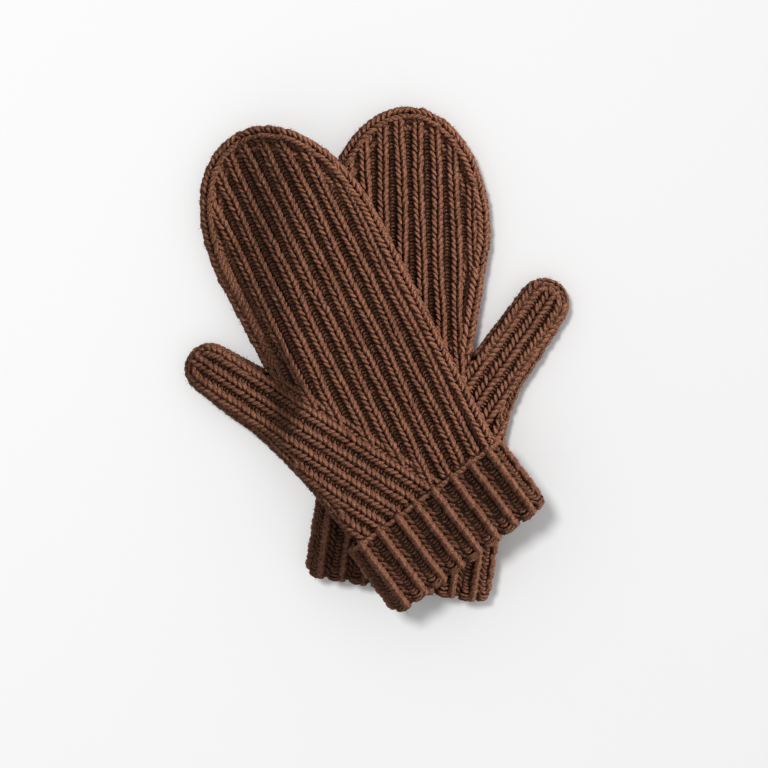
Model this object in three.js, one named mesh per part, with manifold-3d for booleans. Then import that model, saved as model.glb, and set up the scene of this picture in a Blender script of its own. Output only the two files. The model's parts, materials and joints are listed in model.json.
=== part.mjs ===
// A pair of chunky rib-knit mittens with turned-up cuffs, laid flat with one across the other.
// Millimetres, +Z up. The pair lies on z = 0, and the origin is under the middle of its box.
// Each mitten is drawn flat in its own frame: the wrist centre at 0, the fingertips towards +Y
// and the thumb on the -X side. The lower mitten is the mirror image of the upper one.

import * as THREE from 'three';
import { mergeVertices } from 'three/addons/utils/BufferGeometryUtils.js';
import { TessellateModifier } from 'three/addons/modifiers/TessellateModifier.js';
import Module from 'manifold-3d';

const manifold = await Module();
manifold.setup();

// ---- driving dimensions ----

const FABRIC = 3.6; // thickness of the ribbed knit
const SEAM_GAP = 0.3; // between sections that the yarn joins
const SLIDE_GAP = 0.4; // between the cuff and the wrist inside it
const LAYER_GAP = 1.2; // between the two mittens where one lies on the other

const HAND_WIDTH = 97;
const HAND_LENGTH = 227; // from the cuff's upper edge to the fingertips
const TIP_LENGTH = 74; // the rounded part of that length
const HAND_SHIFT = 7.5; // hand centre line, away from the thumb, from the wrist centre
const HAND_THICKNESS = 14.2; // both layers and the flattened room between them
const HAND_ROUND = 5.6; // rounding of the flattened edge
const BAND_WIDTH = 11; // decrease band that runs round the edge of the hand

const THUMB_WIDTH = 34;
const THUMB_TAPER = 2; // how much narrower each side of the thumb is at its tip
const THUMB_GAP = 0.6; // between the thumb and the socket that it swings in
const THUMB_CLOSE = 12; // degrees of swing towards the fingers
const THUMB_OPEN = 24; // degrees of swing away from the fingers
const GUSSET_KNEE = 57; // height where the gusset bends from the thumb to the wrist
const GUSSET_FOOT = 9; // where the gusset's slanting edge meets the cuff, from the centre

const WRIST_ROOM = 6; // flattened room inside the wrist
const CUFF_WIDTH = 105;
const CUFF_HEIGHT = 45.5;
const CUFF_SPREAD = 3.5; // how far a leaning cuff's corner stands out past its half width

const RUN_OUT = 2.5; // how far past the lower cuff's corner the upper hand keeps above it
const DRAPE_RUN = 48; // how far the upper mitten takes to come down from the lower one to the floor

const UPPER = {
  name: 'upper_mitten',
  thumbSide: -1,
  wristAt: [24.2, -73.7],
  turn: 30,
  cuffLean: 6.8,
  thumbAt: [57.8, 97.3],
  thumbLean: 27,
  thumbReach: 40,
};

const LOWER = {
  name: 'lower_mitten',
  thumbSide: 1,
  wristAt: [16.1, -84.2],
  turn: -2,
  cuffLean: -6.5,
  thumbAt: [47.3, 80.7],
  thumbLean: -33,
  thumbReach: 60,
};

// ---- sizes that follow ----

const WRIST_THICKNESS = WRIST_ROOM + 2 * FABRIC;
const CUFF_BORE = WRIST_THICKNESS + 2 * SLIDE_GAP;
const CUFF_THICKNESS = CUFF_BORE + 2 * FABRIC;
const WRIST_WIDTH = CUFF_WIDTH - CUFF_THICKNESS + WRIST_THICKNESS;
const CUFF_EASE = CUFF_WIDTH / 2 + RUN_OUT; // over which the hand comes down from the cuff's level
const TALL = 80; // height of the cutting blocks, more than any piece
const FLOOR_LEVEL = HAND_THICKNESS / 2; // mid-plane of a hand that lies on the floor
const CUFF_LEVEL = CUFF_THICKNESS / 2; // mid-plane of the lower cuff
const STACK_LEVEL = HAND_THICKNESS * 1.5 + LAYER_GAP; // upper hand on the lower hand
const STACK_CUFF_LEVEL = CUFF_THICKNESS * 1.5 + LAYER_GAP; // upper cuff on the lower cuff
const LOWER_HALF = Math.max(HAND_WIDTH / 2 + HAND_SHIFT, CUFF_WIDTH / 2 + CUFF_SPREAD);
const LOWER_SIDE = LOWER.wristAt[0] - LOWER_HALF;
const ARC_STEPS = 8;
const ROUND_STEPS = 2; // facets across a rounded rim
const END_STEPS = 5; // facets along the round end of a flattened ring
const SPLIT_ROUNDS = 12; // most times that a long triangle is halved
const WELD = 1e-4; // points nearer than this are one
const SWEEP_STEP = 12; // degrees between the places of the thumb that its socket is cut for
const MAX_EDGE = 22; // longest triangle edge before a piece is bent

// ---- solids ----

function solidOf(geometry) {
  const bare = geometry.clone();
  bare.deleteAttribute('normal');
  bare.deleteAttribute('uv');
  const merged = mergeVertices(bare, WELD);
  const mesh = new manifold.Mesh({
    numProp: 3,
    vertProperties: new Float32Array(merged.attributes.position.array),
    triVerts: new Uint32Array(merged.index.array),
  });
  return new manifold.Manifold(mesh);
}

function geometryOf(solid) {
  const mesh = solid.getMesh();
  const geometry = new THREE.BufferGeometry();
  geometry.setAttribute('position', new THREE.BufferAttribute(new Float32Array(mesh.vertProperties), 3));
  geometry.setIndex(new THREE.BufferAttribute(new Uint32Array(mesh.triVerts), 1));
  return geometry;
}

// A flat form with a rounded rim, whose widest outline is `points` less `inset`.
function pouch(points, thickness, round, inset = 0) {
  const depth = thickness - 2 * round;
  const geometry = new THREE.ExtrudeGeometry(new THREE.Shape(points), {
    depth,
    bevelThickness: round,
    bevelSize: round,
    bevelOffset: -round - inset,
    bevelSegments: ROUND_STEPS,
  });
  geometry.translate(0, 0, -depth / 2);
  return solidOf(geometry);
}

// An upright block over `points`, moved in by `inset`, for cutting.
function prism(points, inset = 0) {
  const geometry = new THREE.ExtrudeGeometry(new THREE.Shape(points), {
    depth: TALL,
    bevelEnabled: inset !== 0,
    bevelThickness: SEAM_GAP,
    bevelSize: 0,
    bevelOffset: -inset,
    bevelSegments: 1,
  });
  geometry.translate(0, 0, -TALL / 2);
  return solidOf(geometry);
}

// The side of the line from `a` to `b` that is on the left when walking along it.
function leftOf(a, b, shift = 0) {
  const along = new THREE.Vector2().subVectors(b, a).normalize();
  const left = new THREE.Vector2(-along.y, along.x);
  const size = 2 * (HAND_LENGTH + HAND_WIDTH);
  const middle = a.clone().addScaledVector(left, size / 2 + shift);
  const block = new THREE.BoxGeometry(size, size, TALL);
  block.rotateZ(along.angle());
  block.translate(middle.x, middle.y, 0);
  return solidOf(block);
}

// The upper or lower half of everything.
function halfSpace(sign) {
  const size = 2 * (HAND_LENGTH + HAND_WIDTH);
  const block = new THREE.BoxGeometry(size, size, TALL);
  block.translate(0, 0, (sign * TALL) / 2);
  return solidOf(block);
}

// A flattened ring's outline, drawn across the wrist.
function stadium(width, thickness) {
  const r = thickness / 2;
  const c = width / 2 - r;
  const path = new THREE.Shape();
  path.absarc(c, 0, r, -Math.PI / 2, Math.PI / 2, false);
  path.absarc(-c, 0, r, Math.PI / 2, Math.PI * 1.5, false);
  return path;
}

// A flattened tube along Y, from y = top down to y = bottom.
function sleeve(width, thickness, boreWidth, boreThickness, top, bottom) {
  const section = stadium(width, thickness);
  section.holes.push(stadium(boreWidth, boreThickness));
  const tube = new THREE.ExtrudeGeometry(section, {
    depth: top - bottom,
    bevelEnabled: false,
    curveSegments: END_STEPS,
  });
  tube.rotateX(Math.PI / 2);
  tube.translate(0, top, 0);
  return solidOf(tube);
}

// ---- outlines, in a mitten's own frame ----

const radians = THREE.MathUtils.degToRad;

function thumbFrame(mitten) {
  const at = new THREE.Vector2(mitten.thumbSide * mitten.thumbAt[0], mitten.thumbAt[1]);
  const along = new THREE.Vector2(0, 1).rotateAround(new THREE.Vector2(), radians(mitten.thumbLean));
  const out = new THREE.Vector2(mitten.thumbSide, 0).rotateAround(new THREE.Vector2(), radians(mitten.thumbLean));
  return { at, along, out };
}

// The thumb points along +Y from the centre of its round base, grown by `grow`.
function thumbOutline(mitten, grow = 0) {
  const base = THUMB_WIDTH / 2 + grow;
  const tip = THUMB_WIDTH / 2 - THUMB_TAPER + grow;
  const tipCentre = mitten.thumbReach + grow - tip;
  const baseArc = new THREE.EllipseCurve(0, 0, base, base, Math.PI, 2 * Math.PI).getPoints(ARC_STEPS);
  const tipArc = new THREE.EllipseCurve(0, tipCentre, tip, tip, 0, Math.PI).getPoints(ARC_STEPS);
  return [...baseArc, ...tipArc];
}

// The hand with its gusset: wrist, outer side, rounded tip, thumb side, thumb root, gusset edge.
function handOutline(mitten) {
  const side = mitten.thumbSide;
  const half = HAND_WIDTH / 2;
  const centre = -side * HAND_SHIFT;
  const shoulder = HAND_LENGTH - TIP_LENGTH;
  const { at, along, out } = thumbFrame(mitten);
  const crook = at.clone().addScaledVector(out, -THUMB_WIDTH / 2);
  const root = at.clone().addScaledVector(out, THUMB_WIDTH / 2);
  const knee = root.clone().addScaledVector(along, (GUSSET_KNEE - root.y) / along.y);
  const wrist = side * (WRIST_WIDTH / 2);
  const belowWrist = -CUFF_HEIGHT / 2;
  const [start, end] = side < 0 ? [0, Math.PI] : [Math.PI, 0];
  const tip = new THREE.EllipseCurve(centre, shoulder, half, TIP_LENGTH, start, end, side > 0);
  const gusset = new THREE.QuadraticBezierCurve(root, knee, new THREE.Vector2(wrist, 0));
  return [
    new THREE.Vector2(-wrist, belowWrist),
    new THREE.Vector2(-wrist, 0),
    ...tip.getPoints(2 * ARC_STEPS),
    crook,
    ...gusset.getPoints(ARC_STEPS / 2),
    new THREE.Vector2(wrist, belowWrist),
  ];
}

// ---- how a piece lies ----

function ease(value) {
  return THREE.MathUtils.smoothstep(value, 0, 1);
}

// Height of the mid-plane of a mitten's hand at a point of its own frame.
function handLevel(mitten, x, y) {
  const nearCuff = 1 - ease(y / CUFF_EASE);
  if (mitten === LOWER) return FLOOR_LEVEL + (CUFF_LEVEL - FLOOR_LEVEL) * nearCuff;
  const onLower = STACK_LEVEL + (STACK_CUFF_LEVEL - STACK_LEVEL) * nearCuff;
  const turned = new THREE.Vector2(x, y).rotateAround(new THREE.Vector2(), radians(mitten.turn));
  const past = LOWER_SIDE - (mitten.wristAt[0] + turned.x);
  return onLower + (FLOOR_LEVEL - onLower) * ease(past / DRAPE_RUN);
}

function cuffLevel(mitten) {
  return mitten === LOWER ? CUFF_LEVEL : STACK_CUFF_LEVEL;
}

// Splits long triangles and lifts every point to the level that `levelAt` gives it.
function drape(solid, levelAt) {
  const flat = geometryOf(solid).toNonIndexed();
  const fine = new TessellateModifier(MAX_EDGE, SPLIT_ROUNDS).modify(flat);
  const bent = mergeVertices(fine, WELD);
  const position = bent.attributes.position;
  for (let i = 0; i < position.count; i += 1) {
    const level = levelAt(position.getX(i), position.getY(i));
    position.setZ(i, position.getZ(i) + level);
  }
  bent.computeVertexNormals();
  return bent;
}

// ---- materials ----

function wool(color) {
  return new THREE.MeshStandardMaterial({ color, roughness: 0.95, metalness: 0 });
}

function piece(name, geometry, color) {
  const mesh = new THREE.Mesh(geometry, wool(color));
  mesh.name = name;
  return mesh;
}

const WOOL = 0x6b4636;
const WOOL_SHADE = 0x5c3a2c;
const WOOL_LIGHT = 0x74503f;

// ---- sections of a mitten ----

// Hand sections: the closed shell of the hand is cut along the gusset's slant and the band.
function handSections(mitten) {
  const side = mitten.thumbSide;
  const outline = handOutline(mitten);
  const { at, out } = thumbFrame(mitten);
  const cavityRound = HAND_ROUND - FABRIC;
  let shell = pouch(outline, HAND_THICKNESS, HAND_ROUND);
  shell = shell.subtract(pouch(outline, HAND_THICKNESS - 2 * FABRIC, cavityRound, FABRIC));

  const lean = radians(mitten.cuffLean);
  const wristLine = [new THREE.Vector2(-1, SEAM_GAP), new THREE.Vector2(1, SEAM_GAP)];
  wristLine.forEach((p) => p.rotateAround(new THREE.Vector2(), lean));
  shell = shell.intersect(leftOf(wristLine[0], wristLine[1]));

  for (let swing = -THUMB_CLOSE; swing <= THUMB_OPEN; swing += SWEEP_STEP) {
    const sweep = new THREE.ExtrudeGeometry(new THREE.Shape(thumbOutline(mitten, THUMB_GAP)), {
      depth: TALL,
      bevelEnabled: false,
    });
    sweep.rotateZ(radians(mitten.thumbLean - side * swing));
    sweep.translate(at.x, at.y, -TALL / 2);
    shell = shell.subtract(solidOf(sweep));
  }

  const crook = at.clone().addScaledVector(out, -THUMB_WIDTH / 2 - 2 * THUMB_GAP - FABRIC);
  const foot = new THREE.Vector2(-side * GUSSET_FOOT, 0);
  const slant = side < 0 ? [foot, crook] : [crook, foot];
  const gusset = shell.intersect(leftOf(slant[0], slant[1]));
  const hand = shell.subtract(leftOf(slant[0], slant[1], -SEAM_GAP));

  const middle = prism(bandInner(mitten));
  const middleGap = prism(bandInner(mitten), -SEAM_GAP);
  return {
    gusset,
    band: hand.subtract(middleGap),
    front: hand.intersect(middle).intersect(halfSpace(1)),
    back: hand.intersect(middle).intersect(halfSpace(-1)),
  };
}

// Inner edge of the decrease band; it runs on past the wrist, so that the band stays open there.
function bandInner(mitten) {
  const side = mitten.thumbSide;
  const half = HAND_WIDTH / 2 - BAND_WIDTH;
  const centre = -side * HAND_SHIFT;
  const shoulder = HAND_LENGTH - TIP_LENGTH;
  const outerWrist = -side * (WRIST_WIDTH / 2 - BAND_WIDTH);
  const { at, out } = thumbFrame(mitten);
  const crook = at.clone().addScaledVector(out, -THUMB_WIDTH / 2 - BAND_WIDTH);
  const [start, end] = side < 0 ? [0, Math.PI] : [Math.PI, 0];
  const tip = new THREE.EllipseCurve(centre, shoulder, half, TIP_LENGTH - BAND_WIDTH, start, end, side > 0);
  return [
    new THREE.Vector2(outerWrist, -CUFF_HEIGHT),
    new THREE.Vector2(outerWrist, 0),
    ...tip.getPoints(2 * ARC_STEPS),
    crook,
    new THREE.Vector2(side * HAND_WIDTH, 0),
    new THREE.Vector2(side * HAND_WIDTH, -CUFF_HEIGHT),
  ];
}

// The thumb is a tube that is closed at its tip and open where it joins the hand.
function thumbSection(mitten) {
  const outline = thumbOutline(mitten);
  const cavityRound = HAND_ROUND - FABRIC;
  const cavity = thumbOutline(mitten).map((p) => (p.y < 0 ? new THREE.Vector2(p.x, p.y - THUMB_WIDTH) : p));
  const shell = pouch(outline, HAND_THICKNESS, HAND_ROUND);
  return shell.subtract(pouch(cavity, HAND_THICKNESS - 2 * FABRIC, cavityRound, FABRIC));
}

function wristSection() {
  const bottom = -CUFF_HEIGHT + FABRIC + SEAM_GAP;
  return sleeve(WRIST_WIDTH, WRIST_THICKNESS, WRIST_WIDTH - 2 * FABRIC, WRIST_ROOM, 0, bottom);
}

// The cuff is the outer layer and the fold at its lower edge that turns it over the wrist.
function cuffSection() {
  const boreWidth = WRIST_WIDTH + 2 * SLIDE_GAP;
  const inside = -CUFF_HEIGHT + FABRIC;
  const layer = sleeve(CUFF_WIDTH, CUFF_THICKNESS, boreWidth, CUFF_BORE, 0, inside);
  const fold = sleeve(CUFF_WIDTH, CUFF_THICKNESS, WRIST_WIDTH - 2 * FABRIC, WRIST_ROOM, inside, -CUFF_HEIGHT);
  return layer.add(fold);
}

function buildMitten(mitten) {
  const { name } = mitten;
  const group = new THREE.Group();
  group.position.set(mitten.wristAt[0], mitten.wristAt[1], 0);
  group.rotation.z = radians(mitten.turn);

  const { at } = thumbFrame(mitten);
  const thumbLevel = handLevel(mitten, at.x, at.y);
  const socket = THUMB_WIDTH / 2 + THUMB_GAP;
  // Round the thumb's root the hand stays level, so that the thumb can turn in it.
  const level = (x, y) => {
    const away = Math.hypot(x - at.x, y - at.y) / socket;
    return THREE.MathUtils.lerp(thumbLevel, handLevel(mitten, x, y), ease(away - 1));
  };
  const hand = handSections(mitten);
  group.add(piece(`${name}_front_panel`, drape(hand.front, level), WOOL));
  group.add(piece(`${name}_back_panel`, drape(hand.back, level), WOOL_SHADE));
  group.add(piece(`${name}_edge_band`, drape(hand.band, level), WOOL_LIGHT));
  group.add(piece(`${name}_thumb_gusset`, drape(hand.gusset, level), WOOL));

  const thumbGroup = new THREE.Group();
  thumbGroup.position.set(at.x, at.y, 0);
  thumbGroup.rotation.z = radians(mitten.thumbLean);
  const thumbDrop = (x, y) => {
    const away = Math.hypot(x, y) / socket;
    return THREE.MathUtils.lerp(thumbLevel, FLOOR_LEVEL, ease(away - 1));
  };
  thumbGroup.add(piece(`${name}_thumb`, drape(thumbSection(mitten), thumbDrop), WOOL_LIGHT));
  group.add(thumbGroup);

  const wristGroup = new THREE.Group();
  wristGroup.position.z = cuffLevel(mitten);
  wristGroup.rotation.z = radians(mitten.cuffLean);
  wristGroup.add(piece(`${name}_wrist_ribbing`, geometryOf(wristSection()), WOOL_SHADE));
  wristGroup.add(piece(`${name}_turned_up_cuff`, geometryOf(cuffSection()), WOOL));
  group.add(wristGroup);
  return group;
}

const pair = new THREE.Group();
pair.add(buildMitten(LOWER));
pair.add(buildMitten(UPPER));

const box = new THREE.Box3().setFromObject(pair, true);
const middle = box.getCenter(new THREE.Vector3());
pair.position.set(-middle.x, -middle.y, -box.min.z);

export default pair;
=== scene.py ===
"""A pair of chunky rib-knit mittens with turned-up cuffs, one lying across the other.

Every section is knitted from yarn: columns of stitches are laid out along guide lines on the
mitten's surface, and a Geometry Nodes tree sets one stitch for each row of a column. Under the
yarn lies a ground of felted wool, hollow where the mitten is hollow, coloured far darker than the
yarn as painted shade deep between the stitches.
"""

import json
import math

import bmesh
import bpy
import numpy as np
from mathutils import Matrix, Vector


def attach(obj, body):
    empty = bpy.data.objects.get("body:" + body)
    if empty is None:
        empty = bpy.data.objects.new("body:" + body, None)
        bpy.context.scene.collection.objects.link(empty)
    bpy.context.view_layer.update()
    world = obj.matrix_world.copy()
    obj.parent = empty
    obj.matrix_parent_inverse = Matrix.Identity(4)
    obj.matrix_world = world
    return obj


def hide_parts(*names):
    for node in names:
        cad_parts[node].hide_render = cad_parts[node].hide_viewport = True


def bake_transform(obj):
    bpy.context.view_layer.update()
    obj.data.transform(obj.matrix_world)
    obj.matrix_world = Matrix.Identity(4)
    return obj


bl_info = {
    "name": "Rib-knit mittens",
    "version": (1, 0, 0),
    "blender": (4, 5, 0),
    "location": "View3D > Sidebar > Mittens",
    "description": "Knits a pair of chunky ribbed mittens stitch by stitch",
    "category": "Object",
}

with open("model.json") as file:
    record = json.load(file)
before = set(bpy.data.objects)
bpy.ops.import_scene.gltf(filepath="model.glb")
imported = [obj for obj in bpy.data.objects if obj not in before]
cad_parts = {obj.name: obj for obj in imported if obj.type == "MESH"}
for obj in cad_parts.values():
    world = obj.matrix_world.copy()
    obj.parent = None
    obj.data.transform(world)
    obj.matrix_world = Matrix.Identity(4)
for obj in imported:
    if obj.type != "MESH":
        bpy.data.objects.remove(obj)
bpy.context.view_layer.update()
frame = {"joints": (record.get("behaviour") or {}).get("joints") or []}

MM = 0.001

# ---- sizes of a mitten, in millimetres in its own frame ----
# The wrist centre is at 0, the fingertips are towards +Y, and side is -1 or 1 for the thumb's side.

HAND_WIDTH = 97.0
HAND_LENGTH = 227.0
TIP_LENGTH = 74.0  # length of the rounded end at the fingertips
HAND_SHIFT = 7.5  # how far the hand's centre line is from the wrist's, away from the thumb
HALF_THICK = 7.1
THUMB_WIDTH = 34.0
THUMB_TAPER = 2.0  # how much smaller the round of the thumb's tip is than half its width
THUMB_SOCKET = 17.6  # radius of the level part round the thumb's root
GUSSET_KNEE = 57.0  # how far up the gusset's side bends in towards the wrist
GUSSET_FOOT = 9.0  # where the gusset's seam meets the wrist, from its centre
GUSSET_SEAM = 21.8  # how far the gusset's seam is from the thumb's axis at the crook
WRIST_WIDTH = 97.0
WRIST_THICK = 13.2
CUFF_WIDTH = 105.0
CUFF_THICK = 21.2
CUFF_HEIGHT = 45.5
CUFF_EASE = 55.0  # over which the hand comes to the level of its cuff
FOLD_ROUND = 3.8
LOWER_LEVEL = 7.1
LOWER_CUFF_LEVEL = 10.6
STACK_LEVEL = 22.5
STACK_CUFF_LEVEL = 33.0
DRAPE_RUN = 48.0  # over which the upper mitten drapes down beside the lower one
LOWER_REACH = 56.0  # half width of the lower mitten's wrist, on which the upper one rests
THUMB_SPREAD = 0.05  # how much wider the part round the thumb gets for each millimetre up it

YARN_DEPTH = 1.5  # from the outside of the knit to the middle of the yarn
GROUND_DEPTH = 3.1  # from the outside of the knit to the ground under the yarn


def ease(value):
    t = min(max(value, 0.0), 1.0)
    return t * t * (3 - 2 * t)


def mix(a, b, t):
    return a + (b - a) * t


def turned(x, y, degrees):
    a = math.radians(degrees)
    return x * math.cos(a) - y * math.sin(a), x * math.sin(a) + y * math.cos(a)


def arc(cx, cy, rx, ry, start, end, steps):
    """Points of an elliptical arc, with its angles in degrees."""
    points = []
    for i in range(steps + 1):
        a = math.radians(mix(start, end, i / steps))
        points.append((cx + rx * math.cos(a), cy + ry * math.sin(a)))
    return points


def bent(start, corner, end, steps):
    """Points of a curve that leaves start towards the corner and comes to its end from it."""
    points = []
    for i in range(steps + 1):
        t = i / steps
        weights = ((1 - t) ** 2, 2 * t * (1 - t), t * t)
        places = (start, corner, end)
        points.append(tuple(sum(w * p[k] for w, p in zip(weights, places)) for k in (0, 1)))
    return points


def in_scene(name, data):
    """A new object of the scene."""
    obj = bpy.data.objects.new(name, data)
    bpy.context.scene.collection.objects.link(obj)
    return obj


def evaluated(obj):
    """The plain mesh that an object's modifiers make; the modifiers are then removed."""
    bpy.context.view_layer.update()
    graph = bpy.context.evaluated_depsgraph_get()
    mesh = bpy.data.meshes.new_from_object(obj.evaluated_get(graph))
    obj.modifiers.clear()
    return mesh


def joint_place(name):
    found = [j for j in frame["joints"] if j["name"] == name]
    if not found:
        raise RuntimeError(f"the frame has no joint named {name}")
    return Vector(found[0]["pos_m"])


class Outline:
    """A closed outline that says how far inside it a point is and which way its edge lies."""

    def __init__(self, points):
        self.start = np.array(points, float)
        self.run = np.roll(self.start, -1, axis=0) - self.start
        self.square = np.maximum((self.run**2).sum(1), 1e-12)

    def inset(self, x, y):
        p = np.array((x, y))
        t = np.clip(((p - self.start) * self.run).sum(1) / self.square, 0, 1)
        near = self.start + self.run * t[:, None]
        gap = near - p
        far = np.hypot(gap[:, 0], gap[:, 1])
        i = int(far.argmin())
        a, b = self.start, self.start + self.run
        above = (a[:, 1] > y) != (b[:, 1] > y)
        rise = np.where(above, self.run[:, 1], 1.0)
        cross = a[:, 0] + (y - a[:, 1]) / rise * self.run[:, 0]
        inside = np.count_nonzero(above & (x < cross)) % 2 == 1
        away = gap[i] / max(far[i], 1e-9)
        return (far[i], away) if inside else (-far[i], -away)


class Mitten:
    """One mitten: its outline, how high it lies, and its place in the frame.

    turn is the whole mitten's angle and lean its cuff's, in degrees. thumb_at is where the thumb
    starts, thumb_lean its angle and thumb_reach its length. rests_on is the outer side of the
    mitten that it lies across, or None.
    """

    def __init__(
        self, name, side, turn, lean, thumb_at, thumb_lean, thumb_reach, rib_shift, rests_on=None
    ):
        self.name, self.side, self.turn, self.lean = name, side, turn, lean
        self.rests_on = rests_on
        self.thumb_reach, self.rib_shift = thumb_reach, rib_shift
        self.at = (side * thumb_at[0], thumb_at[1])
        self.along = turned(0, 1, thumb_lean)
        self.out = turned(side, 0, thumb_lean)
        self.hinge = joint_place(name.split("_")[0] + "_thumb_swing")
        back = turned(*self.at, turn)
        self.wrist = (self.hinge.x / MM - back[0], self.hinge.y / MM - back[1])
        self.thumb_level = self.hand_level(*self.at)
        self.crook = self.thumb_point(-THUMB_WIDTH / 2, 0)
        self.root = self.thumb_point(THUMB_WIDTH / 2, 0)
        self.whole = Outline(self.outline())

    def thumb_point(self, u, v):
        """u is out from the thumb's axis, away from the fingers, and v is along it."""
        return tuple(self.at[i] + self.out[i] * u + self.along[i] * v for i in (0, 1))

    def thumb_place(self, x, y):
        dx, dy = x - self.at[0], y - self.at[1]
        u = dx * self.out[0] + dy * self.out[1]
        return u, dx * self.along[0] + dy * self.along[1]

    def rim(self):
        """From the crook round the fingertips to the outer side of the wrist."""
        centre = -self.side * HAND_SHIFT
        shoulder = HAND_LENGTH - TIP_LENGTH
        half = HAND_WIDTH / 2
        angles = (180, 0) if self.side < 0 else (0, 180)
        tip = arc(centre, shoulder, half, TIP_LENGTH, *angles, steps=48)
        return [self.crook, *tip, (-self.side * WRIST_WIDTH / 2, 0)]

    def thumb_edge(self):
        """From the crook round the thumb's tip to its root, and down the gusset to the wrist."""
        tip = THUMB_WIDTH / 2 - THUMB_TAPER
        centre = self.thumb_reach - tip
        points = [self.thumb_point(x, y) for x, y in arc(0, centre, tip, tip, 180, 0, steps=24)]
        rise = (GUSSET_KNEE - self.root[1]) / self.along[1]
        knee = (self.root[0] + self.along[0] * rise, GUSSET_KNEE)
        wrist = (self.side * WRIST_WIDTH / 2, 0)
        return [self.crook, *points, *bent(self.root, knee, wrist, steps=12)]

    def outline(self):
        half = WRIST_WIDTH / 2
        below = -CUFF_HEIGHT / 2
        closing = [(self.side * half, below), (-self.side * half, below)]
        edge = self.thumb_edge()
        return [*reversed(self.rim()), *edge[1:], *closing]

    def hand_level(self, x, y):
        near_cuff = 1 - ease(y / CUFF_EASE)
        if self.rests_on is None:
            return mix(LOWER_LEVEL, LOWER_CUFF_LEVEL, near_cuff)
        stacked = mix(STACK_LEVEL, STACK_CUFF_LEVEL, near_cuff)
        past = self.rests_on - self.wrist[0] - turned(x, y, self.turn)[0]
        return mix(stacked, LOWER_LEVEL, ease(past / DRAPE_RUN))

    def level(self, x, y):
        """Height of the middle of the mitten; round the thumb's root it is level."""
        u, v = self.thumb_place(x, y)
        away = ease(math.hypot(u, v) / THUMB_SOCKET - 1)
        beside = abs(u) < THUMB_SOCKET + v * THUMB_SPREAD
        on_thumb = v > 0 and beside and self.beyond_seam(x, y) > 0
        rest = LOWER_LEVEL if on_thumb else self.hand_level(x, y)
        return mix(self.thumb_level, rest, away)

    def beyond_seam(self, x, y):
        """How far a point is on the gusset's side of the gusset's seam."""
        foot = (-self.side * GUSSET_FOOT, 0)
        crook = self.thumb_point(-GUSSET_SEAM, 0)
        run = (crook[0] - foot[0], crook[1] - foot[1])
        size = math.hypot(*run)
        cross = run[0] * (y - foot[1]) - run[1] * (x - foot[0])
        return -self.side * cross / size

    def above_cuff(self, x, y):
        return turned(x, y, -self.lean)[1]

    def world(self, x, y, z):
        wx, wy = turned(x, y, self.turn)
        return Vector((self.wrist[0] + wx, self.wrist[1] + wy, z)) * MM

    def world_way(self, x, y, z):
        wx, wy = turned(x, y, self.turn)
        return Vector((wx, wy, z))

    def on_face(self, x, y, face, depth):
        """A point on the front (face 1) or back (face -1), sunk by depth, and its normal."""
        inset, away = self.whole.inset(x, y)
        sideways = max(1 - max(inset, 0.0) / HALF_THICK, 0.0)
        up = math.sqrt(1 - sideways**2)
        half = (HALF_THICK - depth) * up
        slope_x = (self.level(x + 1, y) - self.level(x - 1, y)) / 2
        slope_y = (self.level(x, y + 1) - self.level(x, y - 1)) / 2
        px, py = x - away[0] * sideways * depth, y - away[1] * sideways * depth
        place = self.world(px, py, self.level(x, y) + face * half)
        nx = away[0] * sideways - up * slope_x
        ny = away[1] * sideways - up * slope_y
        return place, self.world_way(nx, ny, face * up).normalized()

    def on_rim(self, point, way, around, depth):
        """A point beside the edge at `point`; around is measured over the edge from its outside."""
        angle = around / HALF_THICK
        limit = math.pi / 2
        over = max(abs(angle) - limit, 0.0) * HALF_THICK
        angle = max(min(angle, limit), -limit)
        inset = HALF_THICK - (HALF_THICK - depth) * math.cos(angle) + over
        height = (HALF_THICK - depth) * math.sin(angle)
        x, y = point[0] - way[0] * inset, point[1] - way[1] * inset
        place = self.world(x, y, self.level(x, y) + height)
        normal = self.world_way(way[0] * math.cos(angle), way[1] * math.cos(angle), math.sin(angle))
        return place, normal.normalized()


LOWER = Mitten(
    "lower_mitten",
    side=1,
    turn=-2,
    lean=-6.5,
    thumb_at=(47.3, 80.7),
    thumb_lean=-33,
    thumb_reach=60,
    rib_shift=3.7,
)
UPPER = Mitten(
    "upper_mitten",
    side=-1,
    turn=30,
    lean=6.8,
    thumb_at=(57.8, 97.3),
    thumb_lean=27,
    thumb_reach=40,
    rib_shift=0.0,
    rests_on=LOWER.wrist[0] - LOWER_REACH,
)
MITTENS = (LOWER, UPPER)


# ---- settings ----


def color_setting(name, description, default):
    return bpy.props.FloatVectorProperty(
        name=name, description=description, subtype="COLOR", size=3, default=default, min=0, max=1
    )


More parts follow.
